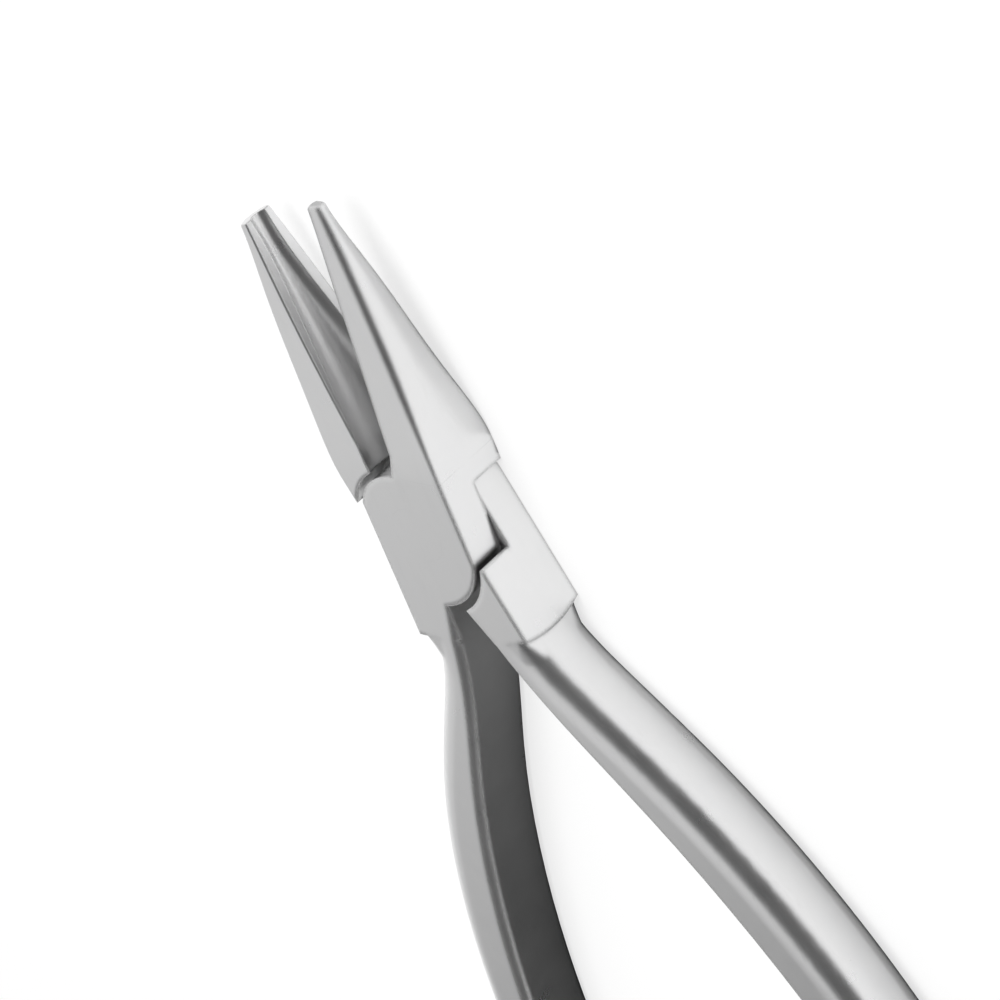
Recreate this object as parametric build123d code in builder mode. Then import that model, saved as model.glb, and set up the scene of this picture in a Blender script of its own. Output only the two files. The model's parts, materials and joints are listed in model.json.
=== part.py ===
"""Orthodontic contouring pliers: two forged arms in a lap joint, turning on one flush rivet.

The pliers lie on the back of the joint. Z is the pivot axis, Y runs towards the jaws, and the
origin is on the pivot axis at the back face. Each arm is drawn closed, with its lap face at z = 0,
and is then turned by half of the opening. All sizes are in millimetres.
"""
import math
import os
from build123d import *

# Joint block
joint_half_width = 6.0
joint_half_thickness = 3.85
lap_clearance = 0.03
block_edge_round = 0.2
corner_facet = 0.35

# Arcs of the lap plates: what their radii add to the half width, and their gaps to the other arm
upper_arc_margin = 0.45
upper_gap = 0.65
lower_arc_margin = 0.44
lower_arc_offset = 1.56
lower_arc_drop = 0.27
lower_gap = 0.45
throat_reach = 0.1
crotch_reach = 0.2
crotch_inset = 0.2
crotch_bevel_start = 0.03

# Rivet, fixed in the convex-jaw arm: its share of the joint's width, and its heads
rivet_share = 0.35
rivet_head_margin = 0.8
rivet_head_depth = 1.0
rivet_clearance = 0.03

# Roots of both jaws: inner edge, the lengths over which the throat and the tapers run in, how far
# they lie under the flat faces, and the sections as shares of a jaw's length
jaw_root_inner = 0.85
throat_run = 2.6
taper_run = 3.5
jaw_sink = 0.003
jaw_steps = (0, 0.1, 0.25, 0.5, 0.75, 1)

# Convex jaw: values at its root, middle and tip
convex_length = 33.2
convex_tip_inner = -0.25
convex_mid_outer = 3.95
convex_tip_outer = 1.05
convex_tip_half_thickness = 0.65
convex_root_bulge, convex_mid_bulge, convex_tip_bulge = 0.05, 0.75, 0.2
convex_root_crown, convex_mid_crown, convex_tip_crown = 0.02, 0.4, 0.2
convex_mid_round, convex_tip_round = 0.9, 0.4
convex_end_round = 0.22

# Hollow jaw: values at its root, middle and tip, and its groove by sections, each a share of the
# jaw's length with the groove's depth and the width of its lips
hollow_length = 32.4
hollow_tip_inner = 0.55
hollow_tip_outer = 1.3
hollow_mid_half_thickness, hollow_tip_half_thickness = 3.0, 1.65
hollow_root_bulge, hollow_tip_bulge = 0.02, 0.7
hollow_tip_round = 0.3
hollow_lip_round = 0.25
hollow_end_round = 0.15
groove_sections = [(0, 0.8, -0.2), (0.12, 1.75, 0), (0.4, 1.35, 0.7), (0.7, 0.95, 1.1), (1.02, 0.5, 0.65)]

# Handles: drop below the pivot, inner edge's distance from the centre line, and width across
waist_drop, waist_inner_share, waist_step = 15.0, 0.25, 0.35
knee_drop, knee_inner, knee_width = 31.5, 7.4, 6.1
belly_drop, belly_inner, belly_width = 66.0, 15.4, 6.3
end_drop, end_inner, end_width = 95.0, 14.2, 5.2
bend_drop_share, bend_inner_share, bend_width_share = 0.364, 0.305, 0.385
handle_end_bow = 1.4
handle_outer_round = 2.5
handle_bevel = 0.6
handle_end_round = 0.5

# Neck between the shoulder and the handle
neck_drop = 12.5
neck_bulge = 0.7
neck_corner_round = 0.2
neck_overlap = 0.4
neck_run = 1.2
neck_sink = 0.02
neck_end_sink = 0.15

# Opening of the arms as they lie, in degrees
opening = 14.2


def between(start, stop, share):
    """Value a share of the way from start to stop."""
    return start + (stop - start) * share


def bowed(start, middle, stop, share):
    """Value on the parabola through the start, the middle at half way, and the stop."""
    bow = middle - (start + stop) / 2
    return between(start, stop, share) + 4 * bow * share * (1 - share)


def arc_height(radius, offset):
    """Height of a circle above its centre at a distance to one side."""
    return math.sqrt(radius**2 - offset**2)


def section_plane(height):
    """Plane across a jaw at a height above the pivot: X across, Z through the thickness."""
    return Plane.XZ.offset(-height)


def on_side(edge):
    """Tell whether an edge lies on a side face of the joint block."""
    return math.isclose(abs(edge.center().X), joint_half_width, abs_tol=joint_half_width / 1000)


# Block of the joint: lap plate, jaw root and handle shoulder in one outline
upper_arc_radius = joint_half_width + upper_arc_margin
lower_arc_radius = joint_half_width + lower_arc_offset + lower_arc_margin
upper_side = arc_height(upper_arc_radius, joint_half_width)
upper_middle = arc_height(upper_arc_radius, joint_half_width / 2)
block_top = arc_height(upper_arc_radius, throat_reach)
lower_side = lower_arc_drop + arc_height(lower_arc_radius, joint_half_width + lower_arc_offset)
lower_middle = lower_arc_drop + arc_height(lower_arc_radius, joint_half_width / 2 + lower_arc_offset)
lower_crotch = lower_arc_drop + arc_height(lower_arc_radius, lower_arc_offset - crotch_reach)
neck_end = neck_drop + neck_bulge

# Edges of the handle, each a curve through its stations from the crotch down
waist_inner = waist_inner_share * joint_half_width
waist_width = joint_half_width - waist_step - waist_inner
bend_drop = between(waist_drop, knee_drop, bend_drop_share)
bend_inner = between(waist_inner, knee_inner, bend_inner_share)
bend_width = between(waist_width, knee_width, bend_width_share)
stations = [
    (waist_drop, waist_inner, waist_width),
    (bend_drop, bend_inner, bend_width),
    (knee_drop, knee_inner, knee_width),
    (belly_drop, belly_inner, belly_width),
    (end_drop, end_inner, end_width),
]
inner_points = [(-crotch_reach - crotch_inset, -lower_crotch)]
inner_points += [(-inner, -drop) for drop, inner, width in stations]
outer_points = [(-joint_half_width, -lower_crotch)]
outer_points += [(-inner - width, -drop) for drop, inner, width in stations]
inner_edge = Spline(*inner_points)
outer_edge = Spline(*outer_points)


def along(edge, drop):
    """Point of a handle's edge close to a drop below the pivot, where the edge is nearly straight."""
    return edge @ ((drop - lower_crotch) / edge.length)


neck_corner = along(inner_edge, neck_drop + handle_bevel / 2)

with BuildPart() as joint_block:
    with BuildSketch(Plane.XY.offset(-joint_half_thickness)):
        with BuildLine():
            Polyline(
                (-joint_half_width, upper_side),
                (-joint_half_width, -neck_end),
                (-waist_inner, -neck_end),
                (neck_corner.X, neck_corner.Y),
                (-crotch_reach, -lower_crotch),
            )
            ThreePointArc(
                (-crotch_reach, -lower_crotch),
                (joint_half_width / 2, -lower_middle),
                (joint_half_width, -lower_side),
            )
            Polyline(
                (joint_half_width, -lower_side),
                (joint_half_width, block_top),
                (-throat_reach, block_top),
            )
            ThreePointArc(
                (-throat_reach, block_top),
                (-joint_half_width / 2, upper_middle),
                (-joint_half_width, upper_side),
            )
        make_face()
    extrude(amount=2 * joint_half_thickness)
    fillet(joint_block.edges().filter_by(Axis.Y).filter_by(on_side), block_edge_round)
    # The shoulder ends at the neck in a crowned face
    with BuildSketch(Plane.YZ.offset(-2 * joint_half_width)):
        with BuildLine():
            ThreePointArc(
                (-neck_drop, joint_half_thickness),
                (-neck_end, 0),
                (-neck_drop, -joint_half_thickness),
            )
            Polyline(
                (-neck_drop, -joint_half_thickness),
                (-2 * neck_drop, -joint_half_thickness),
                (-2 * neck_drop, joint_half_thickness),
                (-neck_drop, joint_half_thickness),
            )
        make_face()
    extrude(amount=4 * joint_half_width, mode=Mode.SUBTRACT)

# Handle: flat faces, a flat inner side with narrow bevels, and a full round on the outer side
with BuildPart() as handle:
    with BuildSketch(Plane.XY.offset(-joint_half_thickness)):
        with BuildLine():
            Line(outer_points[0], inner_points[0])
            add(inner_edge)
            ThreePointArc(
                inner_points[-1],
                (-end_inner - end_width / 2, -end_drop - handle_end_bow),
                outer_points[-1],
            )
            add(outer_edge)
        make_face()
    extrude(amount=2 * joint_half_thickness)
    long_edges = handle.edges().filter_by(GeomType.BSPLINE).sort_by(Axis.X)
    chamfer(long_edges[-2:], handle_bevel)
    long_edges = handle.edges().filter_by(GeomType.BSPLINE).sort_by(Axis.X)
    fillet(long_edges[:2], handle_outer_round)
    fillet(handle.faces().sort_by(Axis.Y)[0].edges(), handle_end_round)

# Cut that starts the handle's inner bevels from nothing at the lap plate's lower corner
with BuildPart() as crotch_bevel:
    for x, y, bevel in (
        (-crotch_reach, -lower_crotch, crotch_bevel_start),
        (neck_corner.X, neck_corner.Y, handle_bevel),
    ):
        with BuildSketch(section_plane(y)):
            with Locations((x, joint_half_thickness)):
                Rectangle(math.sqrt(2) * bevel, math.sqrt(2) * bevel, rotation=45)
    loft()
    mirror(about=Plane.XY)

# Neck: corners that blend the square shoulder into the round outer side of the handle
with BuildPart() as neck:
    for share in (0, 0.25, 0.5, 0.75, 1):
        corner = along(outer_edge, between(neck_drop - neck_overlap, waist_drop + neck_run, share))
        width = handle_outer_round + neck_overlap
        sink = between(neck_sink, neck_end_sink, share)
        with BuildSketch(section_plane(corner.Y)):
            with Locations((corner.X + sink + width / 2, 0)):
                Rectangle(width, 2 * (joint_half_thickness - sink))
            fillet(vertices().sort_by(Axis.X)[:2], between(neck_corner_round, handle_outer_round, share))
    loft()

# Room for the other arm's plate behind this arm's plate, with its corners at the sides broken
root_side = arc_height(upper_arc_radius + upper_gap, joint_half_width)
shoulder_side = lower_arc_drop + arc_height(lower_arc_radius + lower_gap, joint_half_width + lower_arc_offset)

with BuildPart() as lap_pocket:
    with BuildSketch(Plane.XY.offset(lap_clearance / 2)):
        Circle(upper_arc_radius + upper_gap)
        with Locations((0, -joint_half_width)):
            Rectangle(4 * joint_half_width, 2 * joint_half_width, mode=Mode.SUBTRACT)
        with BuildSketch(Plane.XY, mode=Mode.PRIVATE) as shoulder_disc:
            with Locations((lower_arc_offset, -lower_arc_drop)):
                Circle(lower_arc_radius + lower_gap)
            with Locations((0, lower_arc_radius)):
                Rectangle(6 * joint_half_width, 2 * lower_arc_radius, mode=Mode.SUBTRACT)
        add(shoulder_disc.sketch)
        with Locations((joint_half_width, root_side), (-joint_half_width, -shoulder_side)):
            Rectangle(2 * corner_facet, 2 * corner_facet, rotation=45)
    extrude(amount=-2 * joint_half_thickness)

# Rivet: a straight shank with a cone at each end, ground flush with both faces
shank_radius = rivet_share * joint_half_width
head_radius = shank_radius + rivet_head_margin
head_start = joint_half_thickness - rivet_head_depth


def rivet_shape(clearance, overrun):
    """Rivet grown by a clearance, its cones carried on past the faces by an overrun."""
    rim = head_radius + clearance + overrun * (head_radius - shank_radius) / rivet_head_depth
    shank = shank_radius + clearance
    reach = joint_half_thickness + overrun
    with BuildPart() as shape:
        with BuildSketch(Plane.XZ):
            with BuildLine():
                Polyline(
                    (0, -reach),
                    (rim, -reach),
                    (shank, -head_start),
                    (shank, head_start),
                    (rim, reach),
                    (0, reach),
                    close=True,
                )
            make_face()
        revolve(axis=Axis.Z)
    return shape.part


tight_bore = rivet_shape(0, rivet_head_depth)
running_bore = rivet_shape(rivet_clearance, rivet_head_depth)


def taper_share(rise, length):
    """Share of a jaw's taper at a rise above its root: it starts level and then grows evenly."""
    run = rise - taper_run / 2
    if rise < taper_run:
        run = rise**2 / (2 * taper_run)
    return run / (length - block_top - taper_run / 2)


# Web in the throat: it leads the corner of the lap plate out to the inner edge of the jaw
throat_share = taper_share(throat_run, convex_length)
throat_half = between(joint_half_thickness, convex_tip_half_thickness, throat_share)

with BuildPart() as throat_web:
    for rise, inner, half in (
        (0, -throat_reach, joint_half_thickness),
        (throat_run, jaw_root_inner, throat_half),
    ):
        with BuildSketch(section_plane(block_top + rise)):
            with Locations(((inner + 2 * jaw_root_inner) / 2, 0)):
                Rectangle(2 * jaw_root_inner - inner, 2 * (half - jaw_sink))
    loft()

# Convex jaw: tapers in width and thickness, with rounded outer corners and a crowned working side
with BuildPart() as convex_jaw:
    for step in jaw_steps:
        rise = step * (convex_length - block_top)
        share = taper_share(rise, convex_length)
        inner = between(jaw_root_inner, convex_tip_inner, share)
        outer = bowed(joint_half_width, convex_mid_outer, convex_tip_outer, share)
        half = between(joint_half_thickness - jaw_sink, convex_tip_half_thickness, share)
        bulge = bowed(convex_root_bulge, convex_mid_bulge, convex_tip_bulge, share)
        crown = bowed(convex_root_crown, convex_mid_crown, convex_tip_crown, share)
        corner = bowed(block_edge_round, convex_mid_round, convex_tip_round, share)
        with BuildSketch(section_plane(block_top + rise)):
            with BuildLine():
                Line((inner, half), (outer - crown, half))
                ThreePointArc((outer - crown, half), (outer, 0), (outer - crown, -half))
                Line((outer - crown, -half), (inner, -half))
                ThreePointArc((inner, -half), (inner - bulge, 0), (inner, half))
            make_face()
            fillet(vertices().sort_by(Axis.X)[-2:], corner)
    loft()
    fillet(convex_jaw.faces().sort_by(Axis.Y)[-1].edges(), convex_end_round)


def hollow_half(share):
    """Half of the hollow jaw's thickness at a share of its taper."""
    root = joint_half_thickness - jaw_sink
    return bowed(root, hollow_mid_half_thickness, hollow_tip_half_thickness, share)


# Hollow jaw: tapers to a thin lipped tip, its outer side crowned towards the tip
with BuildPart() as hollow_jaw:
    for step in jaw_steps:
        rise = step * (hollow_length - block_top)
        share = taper_share(rise, hollow_length)
        inner = -between(jaw_root_inner, hollow_tip_inner, share)
        outer = -between(joint_half_width, hollow_tip_outer, share)
        half = hollow_half(share)
        bulge = between(hollow_root_bulge, hollow_tip_bulge, share)
        corner = between(block_edge_round, hollow_tip_round, share)
        with BuildSketch(section_plane(block_top + rise)):
            with BuildLine():
                Polyline((outer, half), (inner, half), (inner, -half), (outer, -half))
                ThreePointArc((outer, -half), (outer - bulge, 0), (outer, half))
            make_face()
            fillet(vertices().sort_by(Axis.X)[:2], corner)
            fillet(vertices().sort_by(Axis.X)[-2:], hollow_lip_round)
    loft()
    fillet(hollow_jaw.faces().sort_by(Axis.Y)[-1].edges(), hollow_end_round)

# Tapered groove of the hollow jaw, from the throat out past the tip
with BuildPart() as groove:
    for step, depth, lip in groove_sections:
        rise = step * (hollow_length - block_top)
        share = taper_share(rise, hollow_length)
        inner = -between(jaw_root_inner, hollow_tip_inner, share)
        chord = hollow_half(share) - lip
        radius = (chord**2 + depth**2) / (2 * depth)
        with BuildSketch(section_plane(block_top + rise)):
            with Locations((inner - depth + radius, 0)):
                Circle(radius)
    loft()

# Arms, drawn closed
with BuildPart() as convex_jaw_arm:
    add(joint_block.part)
    add(handle.part)
    add(neck.part)
    add(throat_web.part)
    add(convex_jaw.part)
    add(crotch_bevel.part, mode=Mode.SUBTRACT)
    add(lap_pocket.part, mode=Mode.SUBTRACT)
    add(tight_bore, mode=Mode.SUBTRACT)

with BuildPart() as hollow_jaw_arm:
    with Locations(Rotation(0, 180, 0)):
        add(joint_block.part)
        add(handle.part)
        add(neck.part)
        add(throat_web.part)
    add(hollow_jaw.part)
    add(groove.part, mode=Mode.SUBTRACT)
    with Locations(Rotation(0, 180, 0)):
        add(crotch_bevel.part, mode=Mode.SUBTRACT)
        add(lap_pocket.part, mode=Mode.SUBTRACT)
    add(running_bore, mode=Mode.SUBTRACT)

# Pieces as they lie: back face on z = 0, arms turned apart by the opening
lift = Pos(0, 0, joint_half_thickness)
pieces = {
    "convex_jaw_arm": lift * Rot(0, 0, -opening / 2) * convex_jaw_arm.part,
    "hollow_jaw_arm": lift * Rot(0, 0, opening / 2) * hollow_jaw_arm.part,
    "pivot_rivet": lift * rivet_shape(0, 0),
}
os.makedirs("parts", exist_ok=True)
for name, piece in pieces.items():
    piece.label = name
    export_step(piece, f"parts/{name}.step")
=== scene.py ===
# %% [markdown]
# Orthodontic contouring pliers
#
# Two forged steel arms cross in a lap joint and turn on one flush rivet. The solids of the arms and
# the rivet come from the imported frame, already in metres and in place. This lesson gives them their
# satin steel, then builds the white table, the soft light and the camera of a product picture.

# %% Load the frame
import bpy
import json
import math
import numpy as np
from mathutils import Matrix, Vector

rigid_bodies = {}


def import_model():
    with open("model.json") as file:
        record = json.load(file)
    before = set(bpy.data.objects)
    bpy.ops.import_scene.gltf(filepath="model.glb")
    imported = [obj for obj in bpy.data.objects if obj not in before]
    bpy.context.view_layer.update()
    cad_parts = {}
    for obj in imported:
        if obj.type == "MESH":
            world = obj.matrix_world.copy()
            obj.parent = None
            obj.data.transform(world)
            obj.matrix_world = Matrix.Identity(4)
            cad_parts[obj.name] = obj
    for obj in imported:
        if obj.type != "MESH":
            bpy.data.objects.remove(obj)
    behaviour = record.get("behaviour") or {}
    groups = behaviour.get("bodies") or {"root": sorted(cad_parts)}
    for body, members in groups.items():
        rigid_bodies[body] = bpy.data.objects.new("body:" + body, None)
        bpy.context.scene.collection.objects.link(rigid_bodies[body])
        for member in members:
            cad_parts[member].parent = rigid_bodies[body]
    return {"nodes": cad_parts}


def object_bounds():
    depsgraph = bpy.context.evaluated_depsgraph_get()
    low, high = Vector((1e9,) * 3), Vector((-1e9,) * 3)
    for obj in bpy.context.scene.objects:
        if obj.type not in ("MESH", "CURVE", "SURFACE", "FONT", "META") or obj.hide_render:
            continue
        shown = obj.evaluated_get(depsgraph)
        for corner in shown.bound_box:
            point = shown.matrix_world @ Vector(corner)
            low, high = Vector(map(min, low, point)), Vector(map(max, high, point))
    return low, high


for leftover in list(bpy.data.objects):
    bpy.data.objects.remove(leftover)
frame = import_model()
cad_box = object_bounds()
scene = bpy.context.scene
scene.view_settings.view_transform = "Standard"
cad_sides = [round(1000 * side, 1) for side in cad_box[1] - cad_box[0]]
print("nodes:", sorted(frame["nodes"]), "box in mm:", cad_sides)

# %% [markdown]
# The camera
#
# The picture is a close three-quarter view of the joint, taken from the convex jaw's side with the
# jaws up. Three directions describe such a camera: where its right, its up and its back point. The
# straight edges of the joint fix all three, and the joint's width of 12 mm fixes the distance. A
# long lens at a third of a metre keeps the taper of the jaws true.

# %% Camera
PIVOT = Vector((0.0, 0.0, 0.00385))
VIEW_RIGHT = Vector((0.644054, -0.424296, -0.636527))
VIEW_UP = Vector((-0.038646, 0.812975, -0.581015))
VIEW_BACK = Vector((0.764003, 0.398804, 0.507203))
VIEW_DISTANCE = 0.36327
FRAME_WIDTH = 0.090909
PIVOT_OFFSET = (0.005073, 0.000979)
SENSOR = 36.0

camera_data = bpy.data.cameras.new("camera")
camera_data.sensor_width = SENSOR
camera_data.lens = SENSOR * VIEW_DISTANCE / FRAME_WIDTH
camera_data.clip_start = 0.01
camera_data.clip_end = 20.0
camera = bpy.data.objects.new("camera", camera_data)
scene.collection.objects.link(camera)
eye = PIVOT + VIEW_BACK * VIEW_DISTANCE
target = PIVOT + VIEW_RIGHT * PIVOT_OFFSET[0] + VIEW_UP * PIVOT_OFFSET[1]
back = (eye - target).normalized()
right = VIEW_UP.cross(back).normalized()
up = back.cross(right)
camera.matrix_world = Matrix((right, up, back)).transposed().to_4x4()
camera.location = eye
scene.camera = camera
print("lens in mm:", round(camera_data.lens, 1), "eye in mm:", [round(1000 * v, 1) for v in eye])

# %% [markdown]
# Helpers for shader nodes
#
# Every finish below is a small graph of nodes. Three kinds of node come back again and again: one
# that carries a value from a range to another range, one that does arithmetic on two values, and
# one that does it on two vectors. Writing each of them once keeps the recipes short enough to read.

# %% Shader helpers


def mapped(tree, value, from_range, to_range, smooth=False):
    """Carry a value from one range to another, held at both ends."""
    change = tree.nodes.new("ShaderNodeMapRange")
    if smooth:
        change.interpolation_type = "SMOOTHSTEP"
    for socket, number in zip(change.inputs[1:5], (*from_range, *to_range)):
        socket.default_value = number
    tree.links.new(value, change.inputs["Value"])
    return change.outputs["Result"]


def combined(tree, operation, first, second):
    """Arithmetic on two values."""
    node = tree.nodes.new("ShaderNodeMath")
    node.operation = operation
    tree.links.new(first, node.inputs[0])
    tree.links.new(second, node.inputs[1])
    return node.outputs["Value"]


def vector_node(tree, operation, first):
    """A vector node whose first input is linked."""
    node = tree.nodes.new("ShaderNodeVectorMath")
    node.operation = operation
    tree.links.new(first, node.inputs[0])
    return node


print("helpers:", mapped.__name__, combined.__name__, vector_node.__name__)

# %% [markdown]
# Broken edges
#
# No edge of ground steel is razor sharp: it is broken by a fraction of a millimetre and rubbed a
# little smoother than the faces. The Bevel node rounds the normals near every edge without touching
# the mesh, and where they part from the flat normals there is an edge to polish. The rims of the
# hollow jaw are crisper, so the radius changes where the jaws start. The rivet is ground flush, so
# its rim gets none.

# %% Broken edges
EDGE_BREAK = 0.00080
HOLLOW_JAW_BREAK = 0.00022
JAW_START = (0.004, 0.010)
EDGE_AGREEMENT = (0.80, 0.995)
EDGE_POLISH = 0.06
EDGE_SAMPLES = 6
RIVET_RIM = (0.0033, 0.0035)


def broken_edges(tree, place, jaw_break):
    """Rounded normal and polish. Polish grows as the rounded and the flat normal part."""
    nodes, links = tree.nodes, tree.links
    split = nodes.new("ShaderNodeSeparateXYZ")
    links.new(place, split.inputs["Vector"])
    flat = nodes.new("ShaderNodeCombineXYZ")
    links.new(split.outputs["X"], flat.inputs["X"])
    links.new(split.outputs["Y"], flat.inputs["Y"])
    radius = vector_node(tree, "LENGTH", flat.outputs["Vector"]).outputs["Value"]
    rounded = nodes.new("ShaderNodeBevel")
    rounded.samples = EDGE_SAMPLES
    width = mapped(tree, split.outputs["Y"], JAW_START, (EDGE_BREAK, jaw_break))
    links.new(width, rounded.inputs["Radius"])
    plain = nodes.new("ShaderNodeNewGeometry").outputs["Normal"]
    normal = nodes.new("ShaderNodeMix")
    normal.data_type = "VECTOR"
    links.new(mapped(tree, radius, RIVET_RIM, (0.0, 1.0)), normal.inputs["Factor"])
    links.new(plain, normal.inputs[4])
    links.new(rounded.outputs["Normal"], normal.inputs[5])
    agree = vector_node(tree, "DOT_PRODUCT", normal.outputs[1])
    links.new(plain, agree.inputs[1])
    polish = mapped(tree, agree.outputs["Value"], EDGE_AGREEMENT, (EDGE_POLISH, 0.0))
    return normal.outputs[1], polish


print("edges broken in mm:", 1000 * EDGE_BREAK, "hollow jaw:", 1000 * HOLLOW_JAW_BREAK)

# %% [markdown]
# Grind lines, patches and hairlines
#
# The arms are ground along their length and then satin finished. A plain metal shader would look
# like chrome. Noise that is squeezed along the arm gives long fine grains: as height they are the
# grind lines, and as roughness the duller hairlines that use leaves. A slow noise lets the sheen
# wander in patches.

# %% Grind lines, patches and hairlines
GRIND = {"stretch": 0.025, "scale": 9000.0, "detail": 3.0}
GRIND_STRENGTH = 0.35
GRIND_HEIGHT = 0.000005
HAIRS = {"stretch": 0.02, "scale": 5200.0, "detail": 2.0}
HAIR_RANGE = (0.58, 0.66)
HAIR_DULLNESS = 0.06
PATCHES = {"stretch": 1.0, "scale": 260.0, "detail": 4.0}
PATCH_RANGE = (0.2, 0.8)
ROUGHNESS = (0.26, 0.34)


def stretched_noise(tree, along, stretch, scale, detail):
    """Noise whose grains are longer along the arm by one over the stretch."""
    space = tree.nodes.new("ShaderNodeMapping")
    space.inputs["Scale"].default_value = (1.0, stretch, 1.0)
    tree.links.new(along, space.inputs["Vector"])
    noise = tree.nodes.new("ShaderNodeTexNoise")
    noise.inputs["Scale"].default_value = scale
    noise.inputs["Detail"].default_value = detail
    tree.links.new(space.outputs["Vector"], noise.inputs["Vector"])
    return noise.outputs["Fac"]


def ground_normal(tree, along, normal):
    """The normal, tilted by the height of the grind lines."""
    height = tree.nodes.new("ShaderNodeBump")
    height.inputs["Strength"].default_value = GRIND_STRENGTH
    height.inputs["Distance"].default_value = GRIND_HEIGHT
    tree.links.new(stretched_noise(tree, along, **GRIND), height.inputs["Height"])
    tree.links.new(normal, height.inputs["Normal"])
    return height.outputs["Normal"]


def satin_roughness(tree, along, patches, polish):
    """Roughness = patches of sheen + hairlines - polish at the edges."""
    sheen = mapped(tree, patches, PATCH_RANGE, ROUGHNESS)
    hairs = mapped(tree, stretched_noise(tree, along, **HAIRS), HAIR_RANGE, (0.0, HAIR_DULLNESS))
    return combined(tree, "ADD", sheen, combined(tree, "SUBTRACT", hairs, polish))


print("roughness from", ROUGHNESS[0], "to", ROUGHNESS[1], "before hairlines and polish")

# %% [markdown]
# Tone and painted gap shade
#
# Stainless steel is a light neutral grey, a trace cooler in its darker patches. Where the two arms
# nearly touch, the colour is mixed towards grey as painted shade. The Ambient Occlusion node finds
# these places, because it measures how much of the view out of a point is blocked within a short
# reach.

# %% Tone and painted gap shade
DARK_PATCH = (0.795, 0.795, 0.798, 1.0)
LIGHT_PATCH = (0.825, 0.825, 0.825, 1.0)
PATCH_STOPS = (0.3, 0.7)
# Grey of the painted shade in the narrow gaps between the arms.
PAINTED_GAP_SHADE = (0.50, 0.50, 0.50, 1.0)
GAP_REACH = 0.0013
GAP_OPENNESS = (0.25, 0.70)
GAP_SAMPLES = 8


def steel_tone(tree, patches):
    """Tone = patches of grey, mixed towards a painted shade grey where a gap is narrow."""
    nodes, links = tree.nodes, tree.links
    ramp = nodes.new("ShaderNodeValToRGB")
    dark, light = ramp.color_ramp.elements
    dark.position, light.position = PATCH_STOPS
    dark.color, light.color = DARK_PATCH, LIGHT_PATCH
    links.new(patches, ramp.inputs["Fac"])
    # Painted shade: the tone is mixed towards a flat grey where the Ambient Occlusion node finds a
    # narrow gap.
    gap = nodes.new("ShaderNodeAmbientOcclusion")
    gap.samples = GAP_SAMPLES
    gap.inputs["Distance"].default_value = GAP_REACH
    tone = nodes.new("ShaderNodeMix")
    tone.data_type = "RGBA"
    tone.inputs[6].default_value = PAINTED_GAP_SHADE
    links.new(mapped(tree, gap.outputs["AO"], GAP_OPENNESS, (0.0, 1.0)), tone.inputs[0])
    links.new(ramp.outputs["Color"], tone.inputs[7])
    return tone.outputs[2]


print("tone from", DARK_PATCH[0], "to", LIGHT_PATCH[0], "painted_gap_shade", PAINTED_GAP_SHADE[0])

# %% [markdown]
# Satin steel
#
# Now the parts of the finish come together in one metal shader per piece. Each arm lies turned by
# half of the opening, so a Mapping node turns the pattern with it and the grind lines run along the
# arm. The meshes of the pieces stay as the frame gave them.

# %% Satin steel
HALF_OPENING = 7.1


def satin_steel(name, turn_degrees, jaw_break):
    """Metal with tone, roughness and normal from the recipes above, turned about Z by an angle."""
    material = bpy.data.materials.new(name)
    material.use_nodes = True
    tree = material.node_tree
    shader = tree.nodes["Principled BSDF"]
    shader.inputs["Metallic"].default_value = 1.0
    place = tree.nodes.new("ShaderNodeTexCoord").outputs["Object"]
    turned = tree.nodes.new("ShaderNodeMapping")
    turned.inputs["Rotation"].default_value[2] = math.radians(-turn_degrees)
    tree.links.new(place, turned.inputs["Vector"])
    along = turned.outputs["Vector"]
    patches = stretched_noise(tree, along, **PATCHES)
    normal, polish = broken_edges(tree, place, jaw_break)
    tree.links.new(ground_normal(tree, along, normal), shader.inputs["Normal"])
    tree.links.new(satin_roughness(tree, along, patches, polish), shader.inputs["Roughness"])
    tree.links.new(steel_tone(tree, patches), shader.inputs["Base Color"])
    return material


steels = {
    "convex_jaw_arm": satin_steel("satin_steel_convex_arm", -HALF_OPENING, EDGE_BREAK),
    "hollow_jaw_arm": satin_steel("satin_steel_hollow_arm", HALF_OPENING, HOLLOW_JAW_BREAK),
    "pivot_rivet": satin_steel("satin_steel_rivet", -HALF_OPENING, EDGE_BREAK),
}
for node_name, steel in steels.items():
    mesh = frame["nodes"][node_name].data
    mesh.materials.clear()
    mesh.materials.append(steel)
    print(node_name, "is", steel.name)

# %% [markdown]
# The table
#
# A white sheet carries the pliers. The camera and the steel see it partly as plain white, so that
# only a faint soft shadow is left round the pliers and the steel mirrors the same white. Soft light
# that bounces between the sheet and the pliers sees it as ordinary white paper. A Light Path node
# tells the two kinds of ray apart. The sheet is one flat grid, worked out from its corners.

# %% Table
TABLE_REACH = 3.0
TABLE_LEVEL = -0.00002
TABLE_LINES = 9
SHEET_GLOW = 0.72
SHEET_SHADED = (0.29, 0.29, 0.29, 1.0)
SHEET_PAPER = (0.95, 0.95, 0.95, 1.0)
WHITE = (1.0, 1.0, 1.0, 1.0)


def flat_sheet(name, corners, height, lines):
    """Grid between four corners: the point at (u, v) is the bilinear mean of the corners."""
    u, v = np.meshgrid(np.linspace(0, 1, lines), np.linspace(0, 1, lines), indexing="ij")
    weights = np.stack([(1 - u) * (1 - v), u * (1 - v), u * v, (1 - u) * v], axis=-1)
    ground = weights.reshape(-1, 4) @ np.array(corners)
    points = np.column_stack([ground, np.full(len(ground), height)])
    index = np.arange(lines * lines).reshape(lines, lines)
    quads = np.stack([index[:-1, :-1], index[1:, :-1], index[1:, 1:], index[:-1, 1:]], axis=-1)
    mesh = bpy.data.meshes.new(name)
    mesh.from_pydata(points.tolist(), [], quads.reshape(-1, 4).tolist())
    sheet = bpy.data.objects.new(name, mesh)
    scene.collection.objects.link(sheet)
    return sheet


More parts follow.
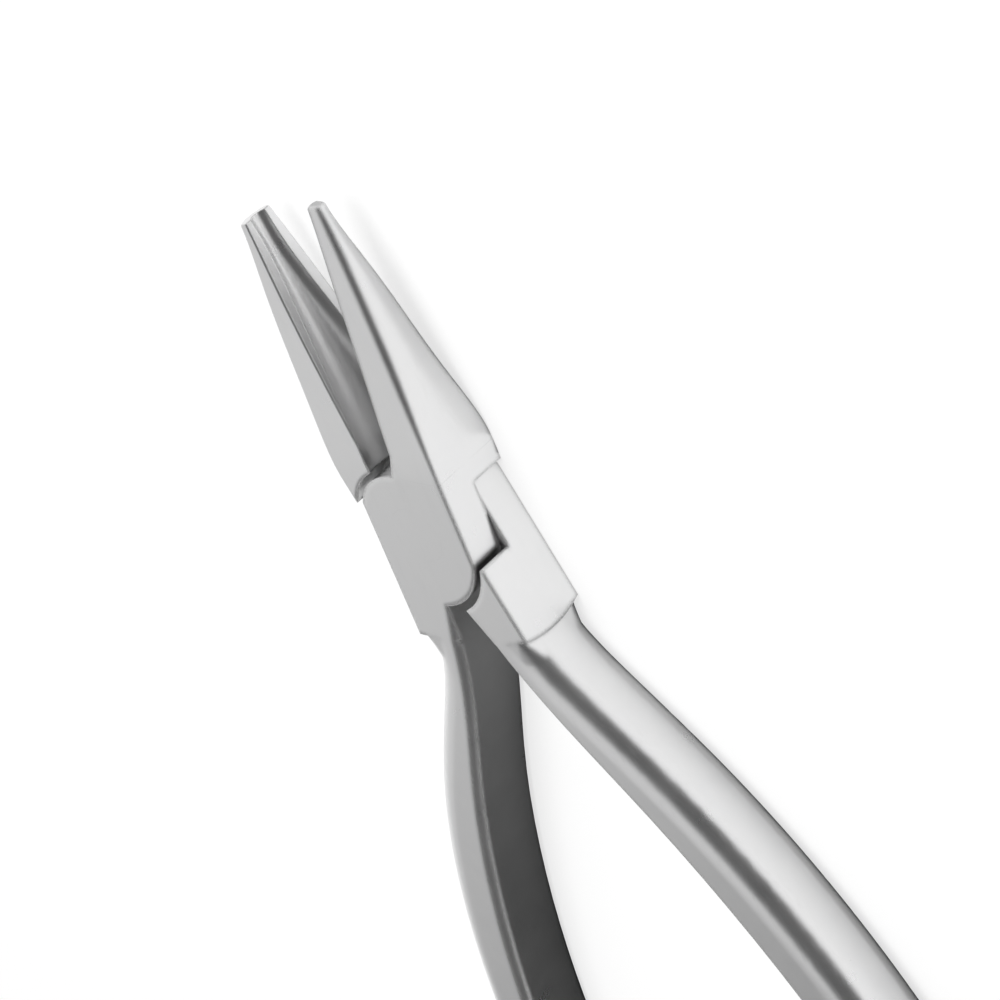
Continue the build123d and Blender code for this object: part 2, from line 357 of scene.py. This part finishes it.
def white_sheet():
    """Plain white and a faint shadow for camera and mirror rays, white paper for the rest."""
    paper = bpy.data.materials.new("white_sheet")
    paper.use_nodes = True
    tree = paper.node_tree
    nodes, links = tree.nodes, tree.links
    nodes.clear()
    rays = nodes.new("ShaderNodeLightPath").outputs
    mirrored = combined(tree, "MAXIMUM", rays["Is Glossy Ray"], rays["Is Transmission Ray"])
    watched = combined(tree, "MAXIMUM", rays["Is Camera Ray"], mirrored)
    glow = nodes.new("ShaderNodeEmission")
    glow.inputs["Color"].default_value = WHITE
    glow.inputs["Strength"].default_value = SHEET_GLOW
    shaded = nodes.new("ShaderNodeBsdfDiffuse")
    shaded.inputs["Color"].default_value = SHEET_SHADED
    seen = nodes.new("ShaderNodeAddShader")
    links.new(glow.outputs["Emission"], seen.inputs[0])
    links.new(shaded.outputs["BSDF"], seen.inputs[1])
    lit = nodes.new("ShaderNodeBsdfDiffuse")
    lit.inputs["Color"].default_value = SHEET_PAPER
    choice = nodes.new("ShaderNodeMixShader")
    links.new(watched, choice.inputs["Fac"])
    links.new(lit.outputs["BSDF"], choice.inputs[1])
    links.new(seen.outputs["Shader"], choice.inputs[2])
    surface = nodes.new("ShaderNodeOutputMaterial")
    links.new(choice.outputs["Shader"], surface.inputs["Surface"])
    return paper


table_corners = [(-TABLE_REACH, -TABLE_REACH), (TABLE_REACH, -TABLE_REACH),
                 (TABLE_REACH, TABLE_REACH), (-TABLE_REACH, TABLE_REACH)]
table = flat_sheet("table", table_corners, TABLE_LEVEL, TABLE_LINES)
table.data.materials.append(white_sheet())
print("table:", len(table.data.polygons), "faces")

# %% [markdown]
# Cards of painted shade on the table
#
# The cards paint shade into the steel's reflections. A black one lies between the handles, so that
# the inner side of the near handle mirrors painted darkness against the white table. Grey ones lie
# under the far handle, under the jaws and tips and beside the joint, and paint the shadows there,
# where they are deepest. Pale ones lie along the outer sides and paint their slight darkening
# towards the table. Only reflections see the cards: the camera and the soft light do not. Each card
# is the flat strip between two curves, and its grey changes along Y.

# %% Painted shade card helper
CARD_LEVEL = 0.00002
CARD_LINES = 33
CARD_ROUGHNESS = 0.9


def edge_curve(stations, y):
    """X of the polynomial through all the stations, at each y."""
    x_stations, y_stations = np.array(stations).T
    return np.polyval(np.polyfit(y_stations, x_stations, len(stations) - 1), y)


def painted_shade_card(name, span, left_edge, right_edge, fade, greys):
    """Painted shade strip over a span of y. Point = left curve + u * (right curve - left curve)."""
    low, high = span
    unit_corners = [(0.0, low), (1.0, low), (1.0, high), (0.0, high)]
    card = flat_sheet(name, unit_corners, CARD_LEVEL, CARD_LINES)
    spots = np.empty(len(card.data.vertices) * 3)
    card.data.vertices.foreach_get("co", spots)
    spots = spots.reshape(-1, 3)
    left, right = edge_curve(left_edge, spots[:, 1]), edge_curve(right_edge, spots[:, 1])
    spots[:, 0] = left + spots[:, 0] * (right - left)
    card.data.vertices.foreach_set("co", spots.ravel())
    material = bpy.data.materials.new(name)
    material.use_nodes = True
    tree = material.node_tree
    shader = tree.nodes["Principled BSDF"]
    shader.inputs["Roughness"].default_value = CARD_ROUGHNESS
    split = tree.nodes.new("ShaderNodeSeparateXYZ")
    place = tree.nodes.new("ShaderNodeTexCoord")
    tree.links.new(place.outputs["Object"], split.inputs["Vector"])
    tree.links.new(mapped(tree, split.outputs["Y"], fade, greys), shader.inputs["Base Color"])
    card.data.materials.append(material)
    # Painted shade: only reflections see the card.
    card.visible_camera = False
    card.visible_diffuse = False
    card.visible_transmission = False
    card.visible_shadow = False
    print(name, "over y", span, "greys", greys)


# %% [markdown]
# Where the cards lie
#
# The curves are lists of (x, y) stations in metres, read off the solids where the arms stand over
# the table. A card that follows an arm's own edge keeps the reflection's border parallel to it.

# %% Painted shade cards
HANDLES = (-0.098, -0.0125)
HANDLE_FADE = (-0.060, -0.020)
NECK_FADE = (-0.030, -0.015)
SIDE_CARD_WIDTH = 0.0052
GAP_LEFT = [(-0.0015, -0.0125), (-0.0122, -0.0303), (-0.0244, -0.0636), (-0.0268, -0.0925)]
GAP_RIGHT = [(0.0030, -0.0125), (0.0142, -0.0300), (0.0262, -0.0632), (0.0285, -0.0922)]
UNDER_RIGHT = [(0.0070, -0.0125), (0.0186, -0.0296), (0.0310, -0.0628), (0.0323, -0.0919)]
BESIDE_RIGHT = [(x + SIDE_CARD_WIDTH, y) for x, y in UNDER_RIGHT]
# Painted shade in reflections: black between the handles, grey under the far handle, pale beside it.
painted_shade_card("gap_shade_card", HANDLES, GAP_LEFT, GAP_RIGHT, HANDLE_FADE, (0.060, 0.16))
painted_shade_card("handle_shade_card", HANDLES, GAP_RIGHT, UNDER_RIGHT, HANDLE_FADE, (0.36, 0.55))
painted_shade_card("handle_side_shade_card", HANDLES, UNDER_RIGHT, BESIDE_RIGHT, NECK_FADE, (0.70, 0.82))

JAWS = (0.004, 0.034)
JAW_SIDE = (0.006, 0.034)
JAW_LEFT = [(-0.0085, 0.004), (-0.0075, 0.034)]
JAW_RIGHT = [(0.0067, 0.0040), (0.0063, 0.0194), (0.0050, 0.0340)]
JAW_BESIDE = [(0.0108, 0.0080), (0.0116, 0.0194), (0.0085, 0.0340)]
# Painted shade in reflections: grey under the jaws, darker towards the joint, and pale beside the
# convex jaw.
painted_shade_card("jaw_shade_card", JAWS, JAW_LEFT, JAW_RIGHT, (0.008, 0.028), (0.52, 0.92))
painted_shade_card("jaw_side_shade_card", JAW_SIDE, JAW_RIGHT, JAW_BESIDE, (0.008, 0.020), (0.86, 0.70))

TIPS = (0.0342, 0.046)
TIP_LEFT, TIP_RIGHT = [(-0.009, 0.0)], [(0.006, 0.0)]
JOINT = (-0.009, -0.001)
JOINT_LEFT, JOINT_RIGHT = [(-0.0135, 0.0)], [(-0.0085, 0.0)]
# Painted shade in reflections: grey under the tips, and dark beside the joint.
painted_shade_card("tip_shade_card", TIPS, TIP_LEFT, TIP_RIGHT, (0.034, 0.046), (0.50, 0.60))
painted_shade_card("joint_shade_card", JOINT, JOINT_LEFT, JOINT_RIGHT, JOINT, (0.15, 0.15))

# %% [markdown]
# The room
#
# Steel has almost no colour of its own: it shows the room. In the picture the front faces are mid
# grey and grow darker towards the handles, the sides are nearly white, and every rounded edge
# between the two is dark. So the room grows darker towards the handles' end, the white table lights
# the sides, and a long dark wall runs along the pliers on the camera's side. A low white backdrop
# goes all round behind the table. The world shader makes that room: a slope along Y, a wall
# measured by the angle of a direction about the Y axis, and a backdrop measured by height.

# %% Room
SLOPE_Y = (-0.60, -0.40)
SLOPE_LIGHT = (0.15, 0.71)
WALL = Vector((0.731, 0.0, 0.682))
WALL_EDGE = (0.69, 0.87)
WALL_LIGHT = 0.12
BACKDROP_TOP = (0.04, 0.12)
BACKDROP_LIGHT = 1.0


def blended_light(tree, share, first):
    """Mix node from a linked light to a set one, by a share."""
    blend = tree.nodes.new("ShaderNodeMix")
    tree.links.new(share, blend.inputs["Factor"])
    tree.links.new(first, blend.inputs[2])
    return blend


room = bpy.data.worlds.new("room")
scene.world = room
room.use_nodes = True
room_tree = room.node_tree
ways = room_tree.nodes.new("ShaderNodeSeparateXYZ")
direction = room_tree.nodes.new("ShaderNodeTexCoord")
room_tree.links.new(direction.outputs["Generated"], ways.inputs["Vector"])
slope = mapped(room_tree, ways.outputs["Y"], SLOPE_Y, SLOPE_LIGHT)
across = room_tree.nodes.new("ShaderNodeCombineXYZ")
room_tree.links.new(ways.outputs["X"], across.inputs["X"])
room_tree.links.new(ways.outputs["Z"], across.inputs["Z"])
aim = vector_node(room_tree, "NORMALIZE", across.outputs["Vector"])
towards = vector_node(room_tree, "DOT_PRODUCT", aim.outputs["Vector"])
towards.inputs[1].default_value = WALL
in_wall = mapped(room_tree, towards.outputs["Value"], WALL_EDGE, (0.0, 1.0), smooth=True)
walled = blended_light(room_tree, in_wall, slope)
walled.inputs[3].default_value = WALL_LIGHT
low = mapped(room_tree, ways.outputs["Z"], BACKDROP_TOP, (1.0, 0.0), smooth=True)
light = blended_light(room_tree, low, walled.outputs["Result"])
light.inputs[3].default_value = BACKDROP_LIGHT
background = room_tree.nodes["Background"]
background.inputs["Color"].default_value = WHITE
room_tree.links.new(light.outputs["Result"], background.inputs["Strength"])
print("room from", SLOPE_LIGHT, "wall", WALL_LIGHT, "backdrop", BACKDROP_LIGHT)

# %% [markdown]
# The softbox
#
# One large square lamp beyond the jaws lights the sheet evenly and gives the pliers their soft
# shadow. The steel would mirror it as a hard white patch on the rounded handles, which the picture
# does not show, so the lamp is hidden from reflections.

# %% Softbox
SOFTBOX_SIDE = 0.8
SOFTBOX_WATTS = 9.6
SOFTBOX_PLACE = (0.15, 0.50, 0.85)

softbox_data = bpy.data.lights.new("softbox", "AREA")
softbox_data.shape = "SQUARE"
softbox_data.size = SOFTBOX_SIDE
softbox_data.energy = SOFTBOX_WATTS
softbox = bpy.data.objects.new("softbox", softbox_data)
scene.collection.objects.link(softbox)
softbox.visible_glossy = False
softbox.location = SOFTBOX_PLACE
softbox.rotation_euler = (PIVOT - softbox.location).to_track_quat("-Z", "Y").to_euler()
print("softbox at", [round(v, 2) for v in softbox.location])
